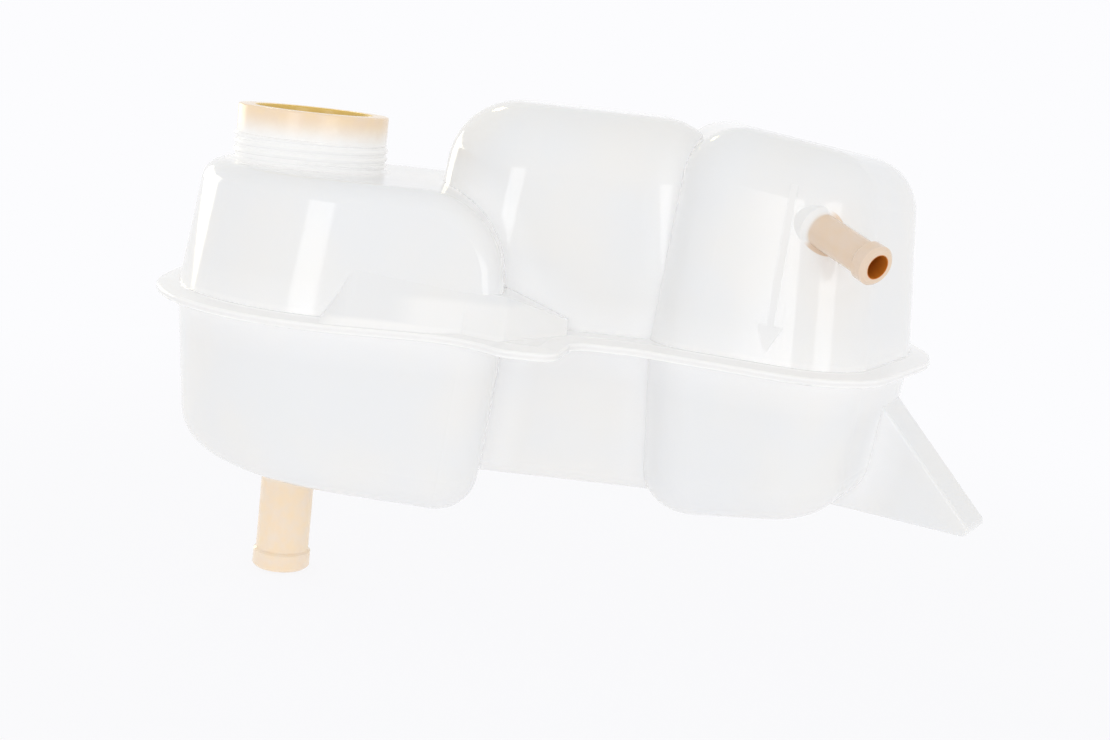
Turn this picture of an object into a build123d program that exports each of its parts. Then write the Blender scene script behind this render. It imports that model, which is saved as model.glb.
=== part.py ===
"""Coolant expansion tank: two moulded half shells, hot-plate welded at a flange round the middle.

Lengths are in mm and angles in degrees. The origin is the centre of the filler mouth, +X runs along
the tank to its mounting tongue, -Y is the front with the recess, and +Z points up the filler neck.
"""

import os
from math import cos, radians, sin

from build123d import *

# Shell
wall = 3.0
seam_z = -66.0

# Filler lobe, which carries the neck; reaches are from the neck axis to the walls at the seam
filler_left = 41.5
filler_right = 77.5
filler_front_left = 70.5
filler_front_right = 54.5
filler_back = 58.0
filler_roof_z = -19.5
filler_floor_z = -131.5
filler_floor_pitch = -5.0
filler_floor_draft = 4.5
filler_draft = 6.5
filler_front_radius = 58.0
filler_back_radius = 46.0
filler_brow_radius = 30.0
filler_edge_radius = 8.0
filler_side_radius = 15.0
filler_floor_radius = 14.0

# Bay, the set-back middle with the highest roof
bay_left = 43.5
bay_right = 156.0
bay_front = 33.0
bay_back = 53.0
bay_roof_z = 11.5
bay_floor_z = -119.0
bay_draft = 6.0
bay_corner_radius = 32.0
bay_edge_radius = 25.0
bay_side_radius = 30.0
bay_floor_radius = 7.0

# Header lobe, with the pitched roof and the bleed spigot
header_left = 126.5
header_front_left = 42.5
header_nose_x = 190.0
header_nose_front = 64.0
header_right = 228.5
header_right_y = 5.0
header_back = 58.0
header_back_right = 222.0
header_roof_z = 15.5
header_roof_pitch = 7.5
header_floor_z = -128.0
header_floor_pitch = 9.0
header_draft = 5.5
header_nose_radius = 26.0
header_right_radius = 55.0
header_back_radius = 28.0
header_side_radius = 21.0
header_edge_radius = 20.0
header_floor_radius = 16.0

# Weld flange: a wedge on the upper moulding and a flat rim, as thick as its nose, on the lower one
flange_reach = 7.5
flange_nose = 1.3
flange_height = 2.6
flange_slope = 6.5
flange_nose_radius = 0.9
flange_cove_radius = 8.0

# Shelf of the flange along the recess, and the lug beside the filler lobe
shelf_front = 49.0
lug_left = 77.5
lug_right = 101.0
lug_front = 78.0
lug_taper = 6.0
lug_lead = 22.5
lug_corner_radius = 9.0
lug_cove_radius = 28.0

# Skirt that flares from the front of the filler lobe to the lug, and the web behind the lug
skirt_left = 17.5
skirt_crest = 26.5
skirt_high = 19.5
skirt_inset = 2.5
skirt_radius = 4.0
web_high = 14.5
web_low = 6.5
lug_edge_radius = 2.5

# Filler neck
neck_radius = 26.0
neck_bore_radius = 20.75

# Bottom hose spigot
outlet_x = 2.0
outlet_radius = 9.75
outlet_bore_radius = 7.5
outlet_tip_z = -170.0
outlet_bead_radius = 10.6
outlet_bead_length = 7.0
outlet_root_radius = 12.5
outlet_root_z = -127.0

# Bleed hose spigot on the rounded front corner of the header lobe
bleed_x = 172.0
bleed_y = -44.0
bleed_z = -15.0
bleed_turn = 35.0
bleed_dip = 16.0
bleed_radius = 5.75
bleed_bore_radius = 4.0
bleed_length = 38.0
bleed_bead_radius = 6.75
bleed_bead_length = 6.0
bleed_root_radius = 7.5
bleed_root_length = 8.0

# Mounting tongue, a solid fin on the right end of the header lobe
tongue_turn = 30.0
tongue_thickness = 20.0
tongue_root_x = 188.8
tongue_root_y = 6.3
tongue_top_reach = 28.0
tongue_top_z = -74.0
tongue_tip_reach = 73.9
tongue_foot_z = -119.8
tongue_tip_radius = 2.5
tongue_edge_radius = 1.0

seam_plane = Plane.XY.offset(seam_z)
LEFT_FRONT = (-1, -1)
LEFT_BACK = (-1, 1)
RIGHT_FRONT = (1, -1)
RIGHT_BACK = (1, 1)
RIGHT = (1, 0)
FRONT = (1, -2)
filler_plan = [(-filler_left, -filler_front_left), (filler_right, -filler_front_right),
               (filler_right, filler_back), (-filler_left, filler_back)]
bay_plan = [(bay_left, -bay_front), (bay_right, -bay_front), (bay_right, bay_back), (bay_left, bay_back)]
header_plan = [(header_left, -header_front_left), (header_nose_x, -header_nose_front),
               (header_right, header_right_y), (header_back_right, header_back), (header_left, header_back)]
filler_ends = [(LEFT_FRONT, filler_front_radius), (LEFT_BACK, filler_back_radius)]
filler_sides = [(RIGHT_FRONT, filler_side_radius), (RIGHT_BACK, filler_side_radius)]
bay_ends = [(LEFT_FRONT, bay_corner_radius), (LEFT_BACK, bay_corner_radius)]
bay_sides = [(RIGHT_FRONT, bay_side_radius), (RIGHT_BACK, bay_side_radius)]
header_ends = [(RIGHT, header_right_radius), (FRONT, header_nose_radius), (RIGHT_BACK, header_back_radius)]
header_sides = [(LEFT_FRONT, header_side_radius), (LEFT_BACK, header_side_radius)]


def furthest(shapes, corner):
    """The edge or vertex that lies furthest towards one corner of a lobe."""
    return shapes.sort_by(lambda shape: corner[0] * shape.center().X + corner[1] * shape.center().Y)[-1]


def outline(plan, growth):
    """One lobe's walls at the seam, moved outwards by growth."""
    with BuildSketch(seam_plane) as walls:
        with BuildLine():
            Polyline(*plan, close=True)
        make_face()
        if growth:
            offset(amount=growth, kind=Kind.INTERSECTION)
    return walls.sketch


def lobe(plan, height, wall_draft, corners, edge_radius, skin, pitch=0.0, brow_radius=0.0):
    """A drafted block on the seam plane with rounded corners and roof, shrunk by skin on every wall."""
    roof = seam_z + height - skin
    with BuildPart() as block:
        extrude(outline(plan, -skin), amount=height - skin)
        draft(block.faces().filter_by(Axis.Z, reverse=True), neutral_plane=seam_plane, angle=wall_draft)
        if pitch:
            high_end = plan[0][0] if pitch > 0 else plan[1][0]
            slope = Plane(origin=(high_end, 0, roof), z_dir=(sin(radians(pitch)), 0, cos(radians(pitch))))
            split(bisect_by=slope, keep=Keep.BOTTOM)
        for corner, radius in corners:
            uprights = block.edges().filter_by(lambda edge: abs(edge.tangent_at(0.5).Z) > 0.5)
            fillet(furthest(uprights, corner), radius - skin)
        if brow_radius:
            fillet(block.faces().sort_by(Axis.Z)[-1].edges().sort_by(Axis.X)[-1], brow_radius - skin)
        fillet(block.faces().sort_by(Axis.Z)[-1].edges(), edge_radius - skin)
    return block.part


def upper_lobes(skin):
    """The three roofed lobes of the upper half, as outside forms or shrunk to the space inside."""
    filler = lobe(filler_plan, filler_roof_z - seam_z, filler_draft, filler_ends, filler_edge_radius, skin,
                  brow_radius=filler_brow_radius)
    bay = lobe(bay_plan, bay_roof_z - seam_z, bay_draft, bay_ends + bay_sides, bay_edge_radius, skin)
    header = lobe(header_plan, header_roof_z - seam_z, header_draft, header_ends + header_sides,
                  header_edge_radius, skin, pitch=header_roof_pitch)
    return [filler, bay, header]


def lower_lobes(skin):
    """The three floored lobes of the lower half, modelled upwards and then mirrored in the seam."""
    filler = lobe(filler_plan, seam_z - filler_floor_z, filler_floor_draft, filler_ends + filler_sides,
                  filler_floor_radius, skin, pitch=filler_floor_pitch)
    bay = lobe(bay_plan, seam_z - bay_floor_z, bay_draft, [], bay_floor_radius, skin)
    header = lobe(header_plan, seam_z - header_floor_z, header_draft, header_ends + header_sides,
                  header_floor_radius, skin, pitch=header_floor_pitch)
    return [filler, bay, header]


def flange_lobe(plan, corners):
    """One lobe's outline grown by the reach of the flange, with its corners rounded."""
    with BuildSketch(seam_plane) as grown:
        add(outline(plan, flange_reach))
        for corner, radius in corners:
            fillet(furthest(grown.vertices(), corner), radius + flange_reach)
    return grown.sketch


def flange_outline():
    """The outline of the welded flange, which runs round the lobes and widens to the lug and the shelf."""
    with BuildSketch(seam_plane) as rim:
        add(flange_lobe(filler_plan, filler_ends + [filler_sides[1]]))
        add(flange_lobe(bay_plan, []))
        add(flange_lobe(header_plan, header_ends + [header_sides[1]]))
        lug_foot = lug_left - lug_lead
        with BuildLine():
            Polyline((lug_foot, -bay_front), (lug_foot, -filler_front_right), (lug_left, -lug_front),
                     (lug_right - lug_taper, -lug_front), (lug_right, -shelf_front),
                     (header_left, -shelf_front), (header_left, -bay_front), close=True)
        make_face()
        for outer_corner in [(lug_left, -lug_front), (lug_right - lug_taper, -lug_front)]:
            fillet(rim.vertices().sort_by_distance((*outer_corner, seam_z))[0], lug_corner_radius)
        bay_line_back = bay_back + flange_reach
        for inner_corner, radius in [
                ((lug_foot + lug_corner_radius, -filler_front_right - flange_reach), lug_cove_radius),
                ((lug_right, -shelf_front), flange_cove_radius),
                ((header_left, -shelf_front), flange_cove_radius),
                ((filler_right + flange_reach, bay_line_back), flange_cove_radius),
                ((header_left - flange_reach, bay_line_back), flange_cove_radius)]:
            fillet(rim.vertices().sort_by_distance((*inner_corner, seam_z))[0], radius)
    return rim.sketch


def flange_half(height):
    """Half of the flange above the seam, with a rounded nose; a higher one slopes back to the walls."""
    with BuildPart() as half:
        extrude(flange_outline(), amount=height)
        if height > flange_nose:
            top = half.faces().sort_by(Axis.Z)[-1]
            chamfer(top.edges(), length=flange_slope, length2=height - flange_nose, reference=top)
        nose_z = seam_z + flange_nose
        margin = flange_nose_radius / 2
        nose = half.edges().filter_by_position(Axis.Z, nose_z - margin, nose_z + margin)
        fillet(nose, flange_nose_radius)
    return half.part


def skirt():
    """The flare in front of the filler lobe and the web behind the lug, down to the rim of the flange."""
    front_pitch = (filler_front_left - filler_front_right) / (filler_left + filler_right)
    crest_fall = (skirt_high - web_high) / (filler_right - skirt_crest)
    lug_root = lug_left - lug_lead + lug_corner_radius
    sections = []
    for x, high in [(skirt_left, flange_height), (skirt_crest, skirt_high),
                    (lug_root, skirt_high - crest_fall * (lug_root - skirt_crest))]:
        front = filler_front_right + front_pitch * (filler_right - x)
        foot = front + flange_reach - flange_nose_radius
        sections.append((x, front - 2 * wall, front - skirt_inset, high, foot))
    web_back = bay_front - wall
    lug_crest = filler_front_right - skirt_inset
    lug_foot = lug_front - flange_slope
    web_end = lug_right - skirt_inset
    sections.append((filler_right, web_back, lug_crest, web_high, lug_foot))
    sections.append((web_end, web_back, bay_front + wall, web_low, shelf_front - skirt_inset))
    with BuildPart() as flare:
        for neighbours in zip(sections, sections[1:]):
            for x, behind, crest, high, foot in neighbours:
                with BuildSketch(Plane.YZ.offset(x)):
                    with BuildLine():
                        Polyline((-behind, seam_z), (-behind, seam_z + high), (-crest, seam_z + high),
                                 (-foot, seam_z + flange_nose), (-foot, seam_z), close=True)
                    make_face()
            loft()
        ridges = [(sections[1], skirt_radius), (sections[3], lug_edge_radius)]
        for (x, behind, crest, high, foot), radius in ridges:
            middle = (x, -(crest + foot) / 2, seam_z + (high + flange_nose) / 2)
            fillet(flare.edges().sort_by_distance(middle)[0], radius)
    return flare.part


def spigot(seat, radius, bead_radius, bead_length, length, root_radius, root_length):
    """A hose spigot on the seat plane, with a wider root and a chamfered bead at its free end."""
    section_plane = Plane(origin=seat.origin, x_dir=seat.x_dir, z_dir=seat.x_dir.cross(seat.z_dir))
    lead = bead_radius - radius
    with BuildPart() as tube:
        with BuildSketch(section_plane):
            with BuildLine():
                Polyline((0, 0), (root_radius, 0), (root_radius, root_length),
                         (radius, root_length + root_radius - radius), (radius, length - bead_length),
                         (bead_radius, length - bead_length + lead), (bead_radius, length - lead),
                         (radius, length), (0, length), close=True)
            make_face()
        revolve(axis=Axis(seat.origin, seat.z_dir))
    return tube.part


def mounting_tongue():
    """The fin, with a level foot, an edge that slopes outwards and rounded arrises."""
    root = Plane(origin=(tongue_root_x, tongue_root_y, 0),
                 x_dir=(cos(radians(tongue_turn)), -sin(radians(tongue_turn)), 0),
                 z_dir=(-sin(radians(tongue_turn)), -cos(radians(tongue_turn)), 0))
    with BuildPart() as fin:
        with BuildSketch(root) as side:
            with BuildLine():
                Polyline((0, tongue_top_z), (tongue_top_reach, tongue_top_z),
                         (tongue_tip_reach, tongue_foot_z), (0, tongue_foot_z), close=True)
            make_face()
            tip = root.from_local_coords((tongue_tip_reach, tongue_foot_z))
            fillet(side.vertices().sort_by_distance(tip)[0], tongue_tip_radius)
        extrude(amount=tongue_thickness / 2, both=True)
        for face in fin.faces().sort_by(Axis(root.origin, root.z_dir))[:: len(fin.faces()) - 1]:
            fillet(face.edges(), tongue_edge_radius)
    return fin.part


neck_plane = Plane.XY
outlet_seat_z = filler_floor_z + 2 * filler_floor_radius
outlet_plane = Plane(origin=(outlet_x, 0, outlet_seat_z), x_dir=(1, 0, 0), z_dir=(0, 0, -1))
bleed_axis = Vector(sin(radians(bleed_turn)) * cos(radians(bleed_dip)),
                    -cos(radians(bleed_turn)) * cos(radians(bleed_dip)), -sin(radians(bleed_dip)))
bleed_plane = Plane(origin=(bleed_x, bleed_y, bleed_z), x_dir=(0, 0, 1), z_dir=bleed_axis)
outlet_length = outlet_seat_z - outlet_tip_z
outlet_root_length = outlet_seat_z - outlet_root_z

with BuildPart() as upper_half:
    for form in upper_lobes(0):
        add(form)
    add(flange_half(flange_height))

    add(skirt())

    # Filler neck
    with BuildSketch(neck_plane):
        Circle(neck_radius)
    extrude(amount=filler_roof_z - wall)

    # Bleed spigot
    add(spigot(bleed_plane, bleed_radius, bleed_bead_radius, bleed_bead_length, bleed_length,
               bleed_root_radius, bleed_root_length))

    # Space inside
    for form in upper_lobes(wall):
        add(form, mode=Mode.SUBTRACT)
    with BuildSketch(neck_plane):
        Circle(neck_bore_radius)
    extrude(amount=filler_roof_z - 2 * wall, mode=Mode.SUBTRACT)
    with BuildSketch(bleed_plane):
        Circle(bleed_bore_radius)
    extrude(amount=bleed_length, mode=Mode.SUBTRACT)
upper_half.part.label = "upper_half"

with BuildPart() as lower_half:
    for form in lower_lobes(0):
        mirror(form, about=seam_plane)
    mirror(flange_half(flange_nose), about=seam_plane)

    # Bottom hose spigot and mounting tongue
    add(spigot(outlet_plane, outlet_radius, outlet_bead_radius, outlet_bead_length, outlet_length,
               outlet_root_radius, outlet_root_length))
    add(mounting_tongue())

    # Space inside
    for form in lower_lobes(wall):
        mirror(form, about=seam_plane, mode=Mode.SUBTRACT)
    with BuildSketch(outlet_plane):
        Circle(outlet_bore_radius)
    extrude(amount=outlet_length, mode=Mode.SUBTRACT)
lower_half.part.label = "lower_half"

os.makedirs("parts", exist_ok=True)
export_step(upper_half.part, "parts/upper_half.step")
export_step(lower_half.part, "parts/lower_half.step")
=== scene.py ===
"""Looks of the coolant expansion tank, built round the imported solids. Lengths are in metres."""

import math

import bpy
from mathutils import Matrix, Vector


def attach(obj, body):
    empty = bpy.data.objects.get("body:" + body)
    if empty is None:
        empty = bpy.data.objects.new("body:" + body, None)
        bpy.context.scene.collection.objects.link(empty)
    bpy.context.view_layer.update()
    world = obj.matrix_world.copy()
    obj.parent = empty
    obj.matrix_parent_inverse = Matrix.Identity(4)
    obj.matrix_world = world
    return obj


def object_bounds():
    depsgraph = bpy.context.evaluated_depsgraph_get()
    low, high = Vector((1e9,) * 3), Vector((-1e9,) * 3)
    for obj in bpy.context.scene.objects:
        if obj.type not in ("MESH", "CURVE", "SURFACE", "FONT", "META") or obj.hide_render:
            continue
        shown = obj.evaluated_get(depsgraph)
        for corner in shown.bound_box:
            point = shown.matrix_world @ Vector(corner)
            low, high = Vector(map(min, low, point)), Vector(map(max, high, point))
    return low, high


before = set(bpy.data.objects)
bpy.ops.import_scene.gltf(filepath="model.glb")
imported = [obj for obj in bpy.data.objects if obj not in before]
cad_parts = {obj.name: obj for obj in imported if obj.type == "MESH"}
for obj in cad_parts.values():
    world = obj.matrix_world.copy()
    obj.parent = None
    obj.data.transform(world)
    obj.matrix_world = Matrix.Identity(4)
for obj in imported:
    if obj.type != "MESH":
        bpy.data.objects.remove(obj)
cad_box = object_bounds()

MM = 0.001

# Filler neck: the solid's core and bore, and the drawn skin over them
NECK_AXIS = Vector((0.0, 0.0, 0.0))
NECK_CORE_R = 26.0 * MM
NECK_BORE_R = 20.75 * MM
NECK_ROOT_Z = -19.5 * MM
NECK_SIDES = 192
COLLAR_R = 26.7 * MM
COLLAR_TOP = 0.25 * MM
COLLAR_FOOT = -18.5 * MM
COLLAR_LINING = 0.1 * MM
COLLAR_ROUNDING = 0.7 * MM
COLLAR_ROUNDING_STEPS = 4

# Thread below the collar. At each end, one part in THREAD_FADE of it sinks into the neck
THREAD_CREST_R = 27.5 * MM
THREAD_HALF_WIDTH = 1.2 * MM
THREAD_SECTION_SIDES = 12
THREAD_PITCH = 2.75 * MM
THREAD_START = -9.1 * MM
THREAD_TURNS = 3.25
THREAD_STEPS_A_TURN = 120
THREAD_RUN_OUT = 2.2 * MM
THREAD_FADE = 14

# Cove at the neck's root, closed under the roof's surface and inside the neck's wall
COVE_R = 3.0 * MM
COVE_STEPS = 8
COVE_UNDER_ROOF = 0.5 * MM
COVE_IN_WALL = 1.0 * MM

# Hose spigots
OUTLET_AXIS = Vector((2.0, 0.0, 0.0)) * MM
BLEED_SEAT = Vector((172.0, -44.0, -15.0)) * MM
BLEED_TURN = math.radians(35.0)
BLEED_DIP = math.radians(16.0)
BLEED_AXIS = Vector((math.sin(BLEED_TURN) * math.cos(BLEED_DIP),
                     -math.cos(BLEED_TURN) * math.cos(BLEED_DIP), -math.sin(BLEED_DIP)))

# Level arrow on the front wall of the header lobe, from the top of its shaft to its tip
ARROW_TOP = Vector((167.1, -49.9, -4.0)) * MM
ARROW_TIP = Vector((164.3, -54.6, -59.5)) * MM
ARROW_OUT = Vector((-0.319, -0.943, 0.096)).normalized()
ARROW_SHAFT_WIDTH = 2.1 * MM
ARROW_HEAD_WIDTH = 8.6 * MM
ARROW_HEAD_LENGTH = 8.6 * MM
ARROW_LOWER_EDGE = 0.99
ARROW_SHOULDER = 0.01 * MM
ARROW_TIP_SHARE = 0.04
ARROW_CUTS = 15
ARROW_RELIEF = 0.2 * MM

# Edges sharper than these angles stay crisp when shaded, or are rounded off by a bevel
CRISP_ANGLE = math.radians(35)
BEVEL_ANGLE = math.radians(60)

# Sizes of the plastic's patterns, apart from the grain, and how light goes into it
CLOUD_SIZE = 40 * MM
STREAK_SIZE = 5 * MM
STAIN_EDGE = 3 * MM
WAVE_SIZE = 16 * MM
WAVE_DEPTH = 0.02 * MM
# Reach and rays of the openness that the painted light in inside corners follows
CORNER_REACH = 14 * MM
CORNER_RAYS = 4
SCATTER_DEPTH = 1.2 * MM
SCATTER_COLOURS = (1.0, 0.96, 0.9)
POLYPROPYLENE_IOR = 1.49
CLOUD_RANGE = (0.3, 0.7)
POLISH_SPREAD = (-0.01, 0.02)
# How far the skirt is whitened, partly for its solid plastic and partly as painted light
SKIRT_WHITENING = 0.7

# Where the tones lie. Each is a product of fades, and a fade goes from none to full between two
# values of a measure that natural_polypropylene takes of the surface
FADES = {
    "cloudy": [("clouds", *CLOUD_RANGE)],
    "streaky": [("streaks", 0.25, 0.75)],
    # Painted light: inside corners are made paler, standing in for light that comes through the
    # walls
    "painted_corner_light": [("openness", 0.95, 0.5)],
    # Bands whitened partly for their solid plastic and partly as painted light, where the flange
    # and skirt catch light from the front and above
    "flange": [("height", -68.2 * MM, -67.6 * MM), ("height", -61 * MM, -63 * MM)],
    "skirt": [("height", -68.2 * MM, -67.6 * MM), ("height", -52.5 * MM, -55.5 * MM),
              ("across", 38 * MM, 52 * MM), ("across", 112 * MM, 104 * MM),
              ("inward", -33 * MM, -38 * MM)],
    "collar": [("ragged_height", -10.5 * MM, -1 * MM), ("from_neck", 30 * MM, 28 * MM)],
    # Painted shade: the stain in the mouth is darker deeper in the bore, by this fade of height
    "mouth": [("height", -40 * MM, -30 * MM), ("from_neck", 21.5 * MM, 20.9 * MM)],
    "mouth_painted_shade": [("height", -8.5 * MM, -1.2 * MM)],
    "outlet": [("height", -131 * MM, -138 * MM)],
    "outlet_bore": [("height", -120 * MM, -126 * MM), ("from_outlet", 7.9 * MM, 7.6 * MM)],
    "bleed": [("along_bleed", 9 * MM, 11 * MM), ("from_bleed", 7.4 * MM, 7 * MM)],
    "bleed_bore": [("along_bleed", -4 * MM, 2 * MM), ("from_bleed", 4.4 * MM, 4.1 * MM)],
}

# Tones of the clean plastic, each laid over the ones before. The solid tone is partly painted light
# on the weld flange and the skirt, and the last tone is painted light in inside corners
MILK = "#EDEEEF"
MILK_TONES = [("cloudy", "#F0EFED"), ("solid", "#FBFAF8"), ("painted_corner_light", "#FFFFFF")]

# Stains of the coolant: where, what the colour varies by, and its two ends
STAINS = [
    ("collar", "streaky", "#F7DDB8", "#F3DCC2"),
    ("outlet", "streaky", "#F8E1C2", "#F3E2CF"),
    ("bleed", "streaky", "#E6CFB6", "#E4D1BF"),
    # The mouth's stain runs from painted shade deep in the bore up to its plain amber at the rim
    ("mouth", "mouth_painted_shade", "#9A622B", "#FDD878"),
    ("outlet_bore", "streaky", "#C98F45", "#C98F45"),
    ("bleed_bore", "streaky", "#CC7A28", "#CC7A28"),
]

# Studio: levels of the white tent in front and behind, and the paper on the floor
TENT_FRONT = 0.93
TENT_BACK = 0.78
PAPER_SEEN = "#FCFCFE"
PAPER_MATT = "#F4F4F5"
FLOOR_R = 6.0
FLOOR_SIDES = 64
FLOOR_X = 0.09
FLOOR_GAP = 1 * MM
SHADOW_REACH = (0.15, 0.5)
SHADOW_GLOW = 0.88
FLOOR_LEAST_GLOW = 0.75

# Camera, from the photograph's perspective
PHOTO_WIDTH = 1110
PHOTO_HEIGHT = 740
FOCAL_PX = 1571.5
AXIS_PX = (547.7, 330.65)
SENSOR_WIDTH = 36.0
NEAR_CLIP = 0.01
CAMERA_AIM = Vector((92.0, 0.0, -70.0)) * MM
CAMERA_DISTANCE = 575.0 * MM
CAMERA_ELEVATION = math.radians(9.62)
CAMERA_ROLL = math.radians(6.5)

# Settings of nodes. A Mix node of colours has them at inputs 6 and 7 and at output COLOUR_OUT
SMOOTH_FADE = {"interpolation_type": "SMOOTHSTEP"}
COLOUR_MIX = {"data_type": "RGBA"}
COLOUR_OUT = 2
PRODUCT = {"operation": "MULTIPLY"}
LARGER = {"operation": "MAXIMUM"}
DISTANCE = {"operation": "DISTANCE"}


def linear(hex_colour):
    """An sRGB hex colour as linear RGBA."""
    values = [int(hex_colour[i:i + 2], 16) / 255 for i in (1, 3, 5)]
    return [v / 12.92 if v <= 0.04045 else ((v + 0.055) / 1.055) ** 2.4 for v in values] + [1.0]


def add_node(tree, kind, settings=None, output=0, **sockets):
    """Adds a node with its settings and with sockets set or linked, and returns one of its outputs.

    A socket goes by its name, with _ for a space, or by _ and its number.
    """
    node = tree.nodes.new(kind)
    for name, value in (settings or {}).items():
        setattr(node, name, value)
    for name, value in sockets.items():
        socket = node.inputs[int(name[1:]) if name[1:].isdigit() else name.replace("_", " ")]
        if isinstance(value, bpy.types.NodeSocket):
            tree.links.new(value, socket)
        else:
            socket.default_value = value
    return node.outputs[output] if node.outputs else None


def new_material(name):
    material = bpy.data.materials.new(name)
    material.use_nodes = True
    material.node_tree.nodes.clear()
    return material, material.node_tree


def natural_polypropylene(name, roughness, grain, grain_depth, scatter, solidity):
    """Natural polypropylene, injection moulded: milky, with light that goes a little way into it.

    Warm coolant has stained what it runs through: amber on the collar and the spigots, brown in
    the bores. Painted light whitens inside corners and, in part, the weld flange and the skirt;
    painted shade darkens the stain deep in the neck's mouth.
    """
    material, tree = new_material(name)
    place = add_node(tree, "ShaderNodeTexCoord", output="Object")
    across, inward, height = add_node(tree, "ShaderNodeSeparateXYZ", Vector=place).node.outputs

    # Clouds in the milky plastic, and streaks in the stains, which also fray the collar's stain
    clouds = add_node(tree, "ShaderNodeTexNoise", None, "Fac", Vector=place, Scale=1 / CLOUD_SIZE,
                      Detail=2.0)
    streaks = add_node(tree, "ShaderNodeTexNoise", None, "Fac", Vector=place,
                       Scale=1 / STREAK_SIZE, Detail=3.0)
    fraying = add_node(tree, "ShaderNodeMath", {"operation": "MULTIPLY_ADD"}, _0=streaks,
                       _1=STAIN_EDGE, _2=-STAIN_EDGE / 2)
    ragged_height = add_node(tree, "ShaderNodeMath", {"operation": "ADD"}, _0=height, _1=fraying)

    # Painted light: inside corners are made paler the more hemmed in they are, standing in for
    # light that comes through the walls and gathers where they meet
    openness = add_node(tree, "ShaderNodeAmbientOcclusion", {"samples": CORNER_RAYS}, "AO",
                        Distance=CORNER_REACH)

    # Distances from the upright axes of the neck and the outlet, and from the bleed's slanted one
    flat = add_node(tree, "ShaderNodeVectorMath", PRODUCT, _0=place, _1=(1, 1, 0))
    from_neck = add_node(tree, "ShaderNodeVectorMath", DISTANCE, "Value", _0=flat, _1=NECK_AXIS)
    from_outlet = add_node(tree, "ShaderNodeVectorMath", DISTANCE, "Value", _0=flat,
                           _1=OUTLET_AXIS)
    from_seat = add_node(tree, "ShaderNodeVectorMath", {"operation": "SUBTRACT"}, _0=place,
                         _1=BLEED_SEAT)
    along_bleed = add_node(tree, "ShaderNodeVectorMath", {"operation": "DOT_PRODUCT"}, "Value",
                           _0=from_seat, _1=BLEED_AXIS)
    on_axis = add_node(tree, "ShaderNodeVectorMath", {"operation": "SCALE"}, _0=BLEED_AXIS,
                       Scale=along_bleed)
    from_bleed = add_node(tree, "ShaderNodeVectorMath", DISTANCE, "Value", _0=from_seat,
                          _1=on_axis)

    measures = {"across": across, "inward": inward, "height": height, "clouds": clouds,
                "streaks": streaks, "ragged_height": ragged_height, "openness": openness,
                "from_neck": from_neck, "from_outlet": from_outlet, "along_bleed": along_bleed,
                "from_bleed": from_bleed}
    masks = {}
    for mask, fades in FADES.items():
        masks[mask] = 1.0
        for measure, none, full in fades:
            fade = add_node(tree, "ShaderNodeMapRange", SMOOTH_FADE, Value=measures[measure],
                            From_Min=none, From_Max=full)
            masks[mask] = add_node(tree, "ShaderNodeMath", PRODUCT, _0=fade, _1=masks[mask])

    # The weld flange and the skirt at the lug are solid, so they look whiter than the thin walls;
    # this whitening is also painted light, for the light these faces catch from the front and above
    skirt = add_node(tree, "ShaderNodeMath", PRODUCT, _0=masks["skirt"], _1=SKIRT_WHITENING)
    thick_and_painted_light = add_node(tree, "ShaderNodeMath", LARGER, _0=masks["flange"], _1=skirt)
    masks["solid"] = add_node(tree, "ShaderNodeMath", LARGER, _0=thick_and_painted_light, _1=solidity)

    colour = linear(MILK)
    for mask, tone in MILK_TONES:
        colour = add_node(tree, "ShaderNodeMix", COLOUR_MIX, COLOUR_OUT, _0=masks[mask],
                          _6=colour, _7=linear(tone))
    for mask, shade, first, second in STAINS:
        stain = add_node(tree, "ShaderNodeMix", COLOUR_MIX, COLOUR_OUT, _0=masks[shade],
                         _6=linear(first), _7=linear(second))
        colour = add_node(tree, "ShaderNodeMix", COLOUR_MIX, COLOUR_OUT, _0=masks[mask],
                          _6=colour, _7=stain)

    # Waves from the mould's cooling, which bend the edges of reflections, and the mould's grain,
    # which is too fine to show and is drawn several times as coarse as it is
    waves = add_node(tree, "ShaderNodeTexNoise", None, "Fac", Vector=place, Scale=1 / WAVE_SIZE,
                     Detail=1.0)
    wavy = add_node(tree, "ShaderNodeBump", Strength=1.0, Distance=WAVE_DEPTH, Height=waves)
    specks = add_node(tree, "ShaderNodeTexNoise", None, "Fac", Vector=place, Scale=1 / grain,
                      Detail=2.0)
    relief = add_node(tree, "ShaderNodeBump", Strength=1.0, Distance=grain_depth, Height=specks,
                      Normal=wavy)
    polish = add_node(tree, "ShaderNodeMapRange", Value=clouds, From_Min=CLOUD_RANGE[0],
                      From_Max=CLOUD_RANGE[1], To_Min=roughness + POLISH_SPREAD[0],
                      To_Max=roughness + POLISH_SPREAD[1])

    surface = add_node(tree, "ShaderNodeBsdfPrincipled", Base_Color=colour, Roughness=polish,
                       Normal=relief, IOR=POLYPROPYLENE_IOR, Subsurface_Weight=scatter,
                       Subsurface_Radius=SCATTER_COLOURS, Subsurface_Scale=SCATTER_DEPTH)
    add_node(tree, "ShaderNodeOutputMaterial", Surface=surface)
    return material


# The walls come from a polished mould: a clear gloss with sharp reflections over a milky depth
gloss_shell = natural_polypropylene("natural_polypropylene_gloss_moulded", roughness=0.08,
                                    grain=1.1 * MM, grain_depth=0.001 * MM, scatter=0.3,
                                    solidity=0.0)
# The neck's skin and thread are solid, so they are white all through, with a softer gloss
gloss_neck = natural_polypropylene("natural_polypropylene_gloss_thread", roughness=0.2,
                                   grain=1.1 * MM, grain_depth=0.001 * MM, scatter=0.0,
                                   solidity=1.0)
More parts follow.
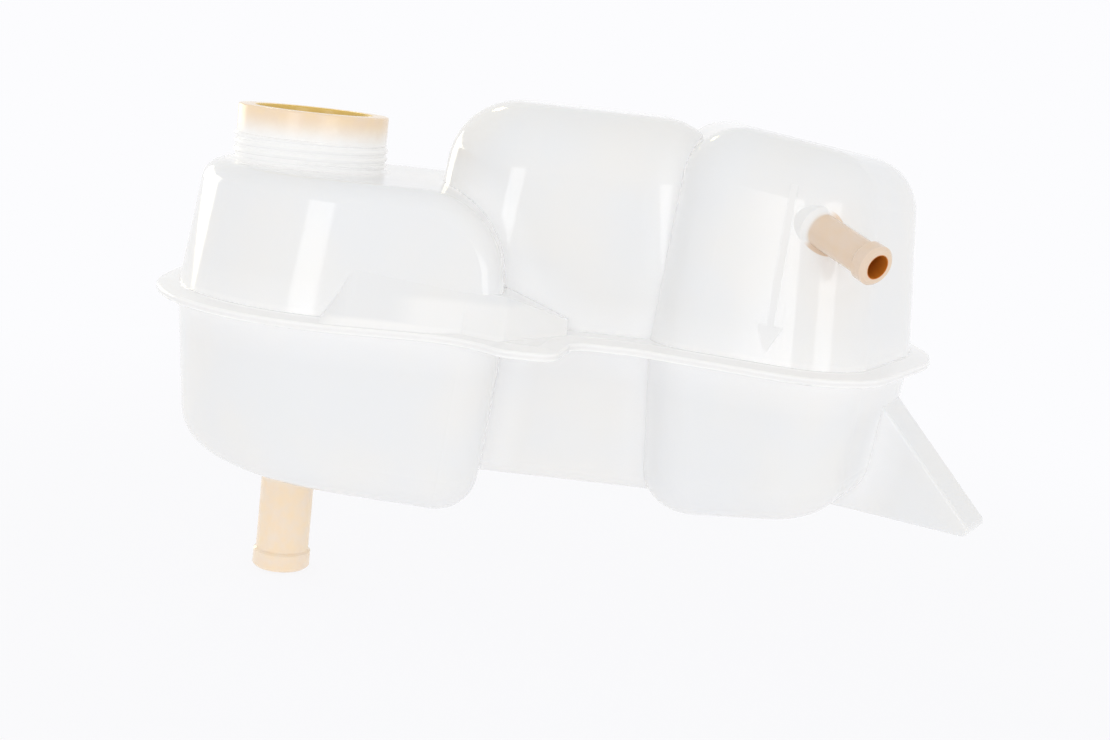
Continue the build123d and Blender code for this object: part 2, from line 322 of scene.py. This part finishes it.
# The level arrow comes from a spark-eroded patch: a sandy matt face that breaks up reflections
matt_mark = natural_polypropylene("natural_polypropylene_spark_eroded", roughness=0.45,
                                  grain=0.6 * MM, grain_depth=0.01 * MM, scatter=0.0,
                                  solidity=0.0)

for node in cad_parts.values():
    node.data.materials.clear()
    node.data.materials.append(gloss_shell)


def deselect():
    if bpy.context.object and bpy.context.object.mode != "OBJECT":
        bpy.ops.object.mode_set(mode="OBJECT")
    bpy.ops.object.select_all(action="DESELECT")


def apply_modifier(piece, kind, **settings):
    modifier = piece.modifiers.new(kind.lower(), kind)
    for name, value in settings.items():
        setattr(modifier, name, value)
    bpy.ops.object.modifier_apply(modifier=modifier.name)


def apply_place():
    bpy.ops.object.transform_apply(location=True, rotation=True, scale=True)


def select_open_edges():
    """In edit mode, selects the edges where the mesh is still open."""
    bpy.ops.mesh.select_mode(type="EDGE")
    bpy.ops.mesh.select_all(action="DESELECT")
    bpy.ops.mesh.select_non_manifold()


def finish_piece(piece, name, material):
    """Applies a piece's place, turns its faces outwards, names it and lets it ride on the tank."""
    deselect()
    piece.select_set(True)
    bpy.context.view_layer.objects.active = piece
    apply_place()
    bpy.ops.object.mode_set(mode="EDIT")
    bpy.ops.mesh.select_all(action="SELECT")
    bpy.ops.mesh.normals_make_consistent(inside=False)
    bpy.ops.object.mode_set(mode="OBJECT")
    piece.name = name
    piece.data.name = name
    piece.data.materials.clear()
    piece.data.materials.append(material)
    bpy.ops.object.shade_smooth_by_angle(angle=CRISP_ANGLE)
    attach(piece, "root")


def neck_collar():
    """The neck's skin, the plain collar and the wall under the thread: a tube with rounded rims."""
    deselect()
    bpy.ops.mesh.primitive_cylinder_add(
        vertices=NECK_SIDES, radius=COLLAR_R, depth=COLLAR_TOP - COLLAR_FOOT,
        end_fill_type="NOTHING", location=(0, 0, (COLLAR_TOP + COLLAR_FOOT) / 2))
    collar = bpy.context.object
    apply_modifier(collar, "SOLIDIFY", thickness=COLLAR_R - NECK_BORE_R + COLLAR_LINING, offset=-1)
    apply_modifier(collar, "BEVEL", limit_method="ANGLE", angle_limit=BEVEL_ANGLE,
                   width=COLLAR_ROUNDING, segments=COLLAR_ROUNDING_STEPS)
    finish_piece(collar, "neck_collar", gloss_neck)


def neck_thread():
    """The male thread: a rounded ridge that winds down from the collar and runs out at its ends."""
    deselect()
    bpy.ops.mesh.primitive_circle_add(
        vertices=THREAD_SECTION_SIDES, radius=THREAD_HALF_WIDTH, fill_type="NGON",
        location=(NECK_CORE_R, 0, THREAD_START), rotation=(math.radians(90), 0, 0))
    ridge = bpy.context.object
    apply_place()
    bpy.ops.object.mode_set(mode="EDIT")
    bpy.ops.mesh.select_all(action="SELECT")
    bpy.ops.mesh.delete(type="ONLY_FACE")
    bpy.ops.object.mode_set(mode="OBJECT")
    drop = THREAD_PITCH * THREAD_TURNS
    steps = int(THREAD_STEPS_A_TURN * THREAD_TURNS)
    apply_modifier(ridge, "SCREW", angle=-math.tau * THREAD_TURNS, screw_offset=-drop,
                   steps=steps, render_steps=steps, use_merge_vertices=False)
    for vertex in ridge.data.vertices:
        ring = Vector((vertex.co.x, vertex.co.y))
        reach = ring.length - NECK_CORE_R
        if reach > 0:
            reach *= (THREAD_CREST_R - NECK_CORE_R) / THREAD_HALF_WIDTH
        wound = (THREAD_START - vertex.co.z) / drop
        fade = min(1.0, max(0.0, THREAD_FADE * wound), max(0.0, THREAD_FADE * (1 - wound)))
        reach -= (1 - fade) * THREAD_RUN_OUT
        vertex.co.x, vertex.co.y = ring.normalized() * (NECK_CORE_R + reach)
    bpy.ops.object.mode_set(mode="EDIT")
    select_open_edges()
    bpy.ops.mesh.fill_holes(sides=0)
    bpy.ops.object.mode_set(mode="OBJECT")
    finish_piece(ridge, "neck_thread", gloss_neck)


def neck_cove():
    """The cove where the neck rises from the roof: rings along a quarter round, then closed."""
    deselect()
    foot = NECK_CORE_R + COVE_R
    under_roof = NECK_ROOT_Z - COVE_UNDER_ROOF
    in_wall = NECK_CORE_R - COVE_IN_WALL
    bpy.ops.mesh.primitive_circle_add(vertices=NECK_SIDES, radius=foot,
                                      location=(0, 0, under_roof))
    cove = bpy.context.object
    apply_place()
    rings = []
    for step in range(COVE_STEPS + 1):
        bend = math.pi / 2 * step / COVE_STEPS
        rings.append((foot - COVE_R * math.sin(bend),
                      NECK_ROOT_Z + COVE_R * (1 - math.cos(bend))))
    rings.append((in_wall, NECK_ROOT_Z + COVE_R))
    rings.append((in_wall, under_roof))
    bpy.ops.object.mode_set(mode="EDIT")
    bpy.ops.mesh.select_all(action="SELECT")
    last_r, last_z = foot, under_roof
    for radius, z in rings:
        bpy.ops.mesh.extrude_region_move(TRANSFORM_OT_translate={"value": (0, 0, z - last_z)})
        bpy.ops.transform.resize(value=(radius / last_r, radius / last_r, 1),
                                 center_override=(0, 0, 0))
        last_r, last_z = radius, z
    select_open_edges()
    bpy.ops.mesh.bridge_edge_loops()
    bpy.ops.object.mode_set(mode="OBJECT")
    finish_piece(cove, "neck_cove", gloss_neck)


def level_arrow():
    """The filling mark: a shaft with a head that points down, laid on the wall and raised."""
    deselect()
    length = (ARROW_TOP - ARROW_TIP).length
    shaft = length - ARROW_HEAD_LENGTH
    bpy.ops.mesh.primitive_plane_add(size=1)
    arrow = bpy.context.object
    arrow.scale = (ARROW_SHAFT_WIDTH, shaft, 1)
    arrow.location = (0, -shaft / 2, 0)
    apply_place()
    bpy.ops.object.mode_set(mode="EDIT")
    bpy.ops.mesh.select_mode(type="EDGE")
    bpy.ops.mesh.select_all(action="DESELECT")
    bpy.ops.object.mode_set(mode="OBJECT")
    for edge in arrow.data.edges:
        edge.select = all(arrow.data.vertices[i].co.y < -ARROW_LOWER_EDGE * shaft
                          for i in edge.vertices)

    # From the shaft's lower edge, the shoulders of the head and then its tip
    bpy.ops.object.mode_set(mode="EDIT")
    for step, widening in ((ARROW_SHOULDER, ARROW_HEAD_WIDTH / ARROW_SHAFT_WIDTH),
                           (ARROW_HEAD_LENGTH - ARROW_SHOULDER, ARROW_TIP_SHARE)):
        bpy.ops.mesh.extrude_region_move(TRANSFORM_OT_translate={"value": (0, -step, 0)})
        bpy.ops.transform.resize(value=(widening, 1, 1), center_override=(0, 0, 0))
    bpy.ops.mesh.select_all(action="SELECT")
    bpy.ops.mesh.subdivide(number_cuts=ARROW_CUTS)
    bpy.ops.object.mode_set(mode="OBJECT")

    up = (ARROW_TOP - ARROW_TIP).normalized()
    side = up.cross(ARROW_OUT).normalized()
    turn = Matrix((side, up, side.cross(up))).transposed().to_4x4()
    arrow.matrix_world = Matrix.Translation(ARROW_TOP) @ turn
    apply_place()
    apply_modifier(arrow, "SHRINKWRAP", target=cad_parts["upper_half"],
                   wrap_method="NEAREST_SURFACEPOINT")
    apply_modifier(arrow, "SOLIDIFY", thickness=2 * ARROW_RELIEF, offset=0)
    finish_piece(arrow, "level_arrow", matt_mark)


neck_collar()
neck_thread()
neck_cove()
level_arrow()


def softbox(name, azimuth, elevation, distance, width, height, radiance, colour="#FFFFFF"):
    """An area lamp that faces the tank. Its azimuth in degrees goes from the front towards +X."""
    lamp = bpy.data.lights.new(name, "AREA")
    lamp.shape = "RECTANGLE"
    lamp.size = width
    lamp.size_y = height
    lamp.energy = radiance * math.pi * width * height
    lamp.color = linear(colour)[:3]
    holder = bpy.data.objects.new(name, lamp)
    bpy.context.scene.collection.objects.link(holder)
    a, e = math.radians(azimuth), math.radians(elevation)
    outwards = Vector((math.sin(a) * math.cos(e), -math.cos(a) * math.cos(e), math.sin(e)))
    holder.location = CAMERA_AIM + distance * outwards
    holder.rotation_mode = "QUATERNION"
    holder.rotation_quaternion = (-outwards).to_track_quat("-Z", "Y")


# The front softboxes stand far off, so that their reflections keep their place from wall to wall
softbox("key_softbox", azimuth=-20.9, elevation=5.9, distance=12.0, width=3.75, height=3.0,
        radiance=2.3)
softbox("right_softbox", azimuth=33, elevation=5.9, distance=12.0, width=5.55, height=3.0,
        radiance=1.9)
softbox("back_rim_lamp", azimuth=-158, elevation=35, distance=1.5, width=0.15, height=0.15,
        radiance=10.0, colour="#FFF0A8")
softbox("left_panel", azimuth=-132, elevation=6, distance=4.0, width=2.4, height=1.2,
        radiance=2.6, colour="#FFF8DC")

# World: a white tent, brighter in front. What is seen or mirrored of it is white paper
world = bpy.data.worlds.new("white_tent")
bpy.context.scene.world = world
world.use_nodes = True
tent = world.node_tree
tent.nodes.clear()
paths = add_node(tent, "ShaderNodeLightPath").node.outputs
towards = add_node(tent, "ShaderNodeTexCoord", output="Generated")
backwards = add_node(tent, "ShaderNodeSeparateXYZ", output="Y", Vector=towards)
level = add_node(tent, "ShaderNodeMapRange", Value=backwards, From_Min=-1.0, From_Max=1.0,
                 To_Min=TENT_FRONT, To_Max=TENT_BACK)
studio = add_node(tent, "ShaderNodeBackground", Color=linear("#FFFFFF"), Strength=level)
white = add_node(tent, "ShaderNodeBackground", Color=linear(PAPER_SEEN), Strength=1.0)
mirrored = add_node(tent, "ShaderNodeMath", LARGER, _0=paths["Is Glossy Ray"],
                    _1=paths["Is Transmission Ray"])
seen = add_node(tent, "ShaderNodeMath", LARGER, _0=paths["Is Camera Ray"], _1=mirrored)
mix = add_node(tent, "ShaderNodeMixShader", _0=seen, _1=studio, _2=white)
add_node(tent, "ShaderNodeOutputWorld", Surface=mix)

# Floor just under the outlet spigot: a sheet of paper that keeps a faint shadow near the tank
deselect()
bpy.ops.mesh.primitive_circle_add(vertices=FLOOR_SIDES, radius=FLOOR_R, fill_type="NGON",
                                  location=(FLOOR_X, 0, cad_box[0].z - FLOOR_GAP))
floor = bpy.context.object
floor.name = "floor"
paper, leaf = new_material("white_paper_sheet")
floor_paths = add_node(leaf, "ShaderNodeLightPath").node.outputs
matt = add_node(leaf, "ShaderNodeBsdfDiffuse", Color=linear(PAPER_MATT))
glow = add_node(leaf, "ShaderNodeEmission", Color=linear(PAPER_SEEN), Strength=1.0)
floor_place = add_node(leaf, "ShaderNodeTexCoord", output="Object")
away = add_node(leaf, "ShaderNodeVectorMath", {"operation": "LENGTH"}, "Value", _0=floor_place)
plain = add_node(leaf, "ShaderNodeMapRange", SMOOTH_FADE, Value=away, From_Min=SHADOW_REACH[0],
                 From_Max=SHADOW_REACH[1], To_Min=SHADOW_GLOW, To_Max=1.0)
floor_seen = add_node(leaf, "ShaderNodeMath", LARGER, _0=floor_paths["Is Camera Ray"],
                      _1=floor_paths["Is Glossy Ray"])
floor_glow = add_node(leaf, "ShaderNodeMath", PRODUCT, _0=floor_seen, _1=plain)
floor_mix = add_node(leaf, "ShaderNodeMath", LARGER, _0=floor_glow, _1=FLOOR_LEAST_GLOW)
sheet = add_node(leaf, "ShaderNodeMixShader", _0=floor_mix, _1=matt, _2=glow)
add_node(leaf, "ShaderNodeOutputMaterial", Surface=sheet)
floor.data.materials.append(paper)

# Camera
camera_data = bpy.data.cameras.new("camera")
camera = bpy.data.objects.new("camera", camera_data)
bpy.context.scene.collection.objects.link(camera)
back = Vector((0, -math.cos(CAMERA_ELEVATION), math.sin(CAMERA_ELEVATION)))
right = Vector((1, 0, 0))
up = right.cross(-back)
camera_right = math.cos(CAMERA_ROLL) * right + math.sin(CAMERA_ROLL) * up
camera_up = -math.sin(CAMERA_ROLL) * right + math.cos(CAMERA_ROLL) * up
camera_turn = Matrix((camera_right, camera_up, back)).transposed().to_4x4()
camera.matrix_world = Matrix.Translation(CAMERA_AIM + CAMERA_DISTANCE * back) @ camera_turn
camera_data.sensor_width = SENSOR_WIDTH
camera_data.lens = FOCAL_PX / PHOTO_WIDTH * SENSOR_WIDTH
camera_data.shift_x = (PHOTO_WIDTH / 2 - AXIS_PX[0]) / PHOTO_WIDTH
camera_data.shift_y = (AXIS_PX[1] - PHOTO_HEIGHT / 2) / PHOTO_WIDTH
camera_data.clip_start = NEAR_CLIP
bpy.context.scene.camera = camera
bpy.context.scene.view_settings.view_transform = "Standard"

bpy.context.view_layer.update()
